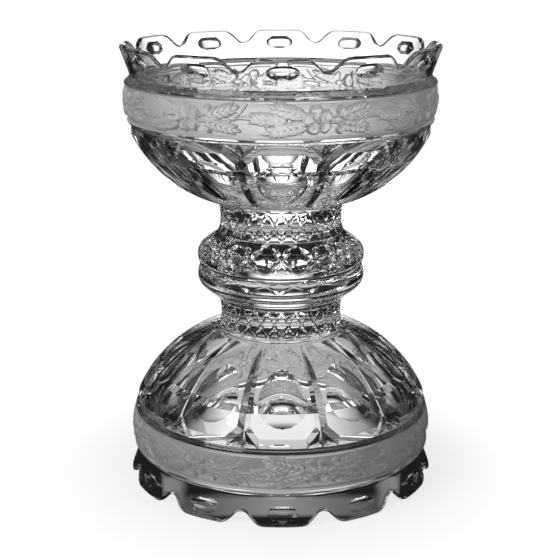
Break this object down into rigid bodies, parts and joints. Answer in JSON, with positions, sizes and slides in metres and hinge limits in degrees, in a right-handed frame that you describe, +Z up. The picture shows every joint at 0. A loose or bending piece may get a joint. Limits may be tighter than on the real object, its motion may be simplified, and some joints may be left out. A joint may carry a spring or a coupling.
{
  "type": "trifle bowl",
  "caption": "Footed cut glass bowl with a scalloped rim and a frosted band, lifted off an inverted stand of the same shape.",
  "frame": {"origin": "middle of the plane of the scallop tips that the stand rests on", "axes": "+Z up along the axis of both vessels; +X to the right as seen in the picture; a scallop faces -Y"},
  "size_m": [0.223, 0.223, 0.312],
  "materials": {
    "bowl_glass": "polished clear crystal with a frosted band",
    "stand_glass": "polished clear crystal with a frosted band"
  },
  "bodies": {
    "stand": {"stand": "stand_glass"},
    "bowl": {"bowl": "bowl_glass"}
  },
  "joints": [
    {"name": "bowl_lift", "type": "slide", "parent": "stand", "child": "bowl", "axis": [0, 0, 1], "range_m": [0, 0.05]}
  ]
}
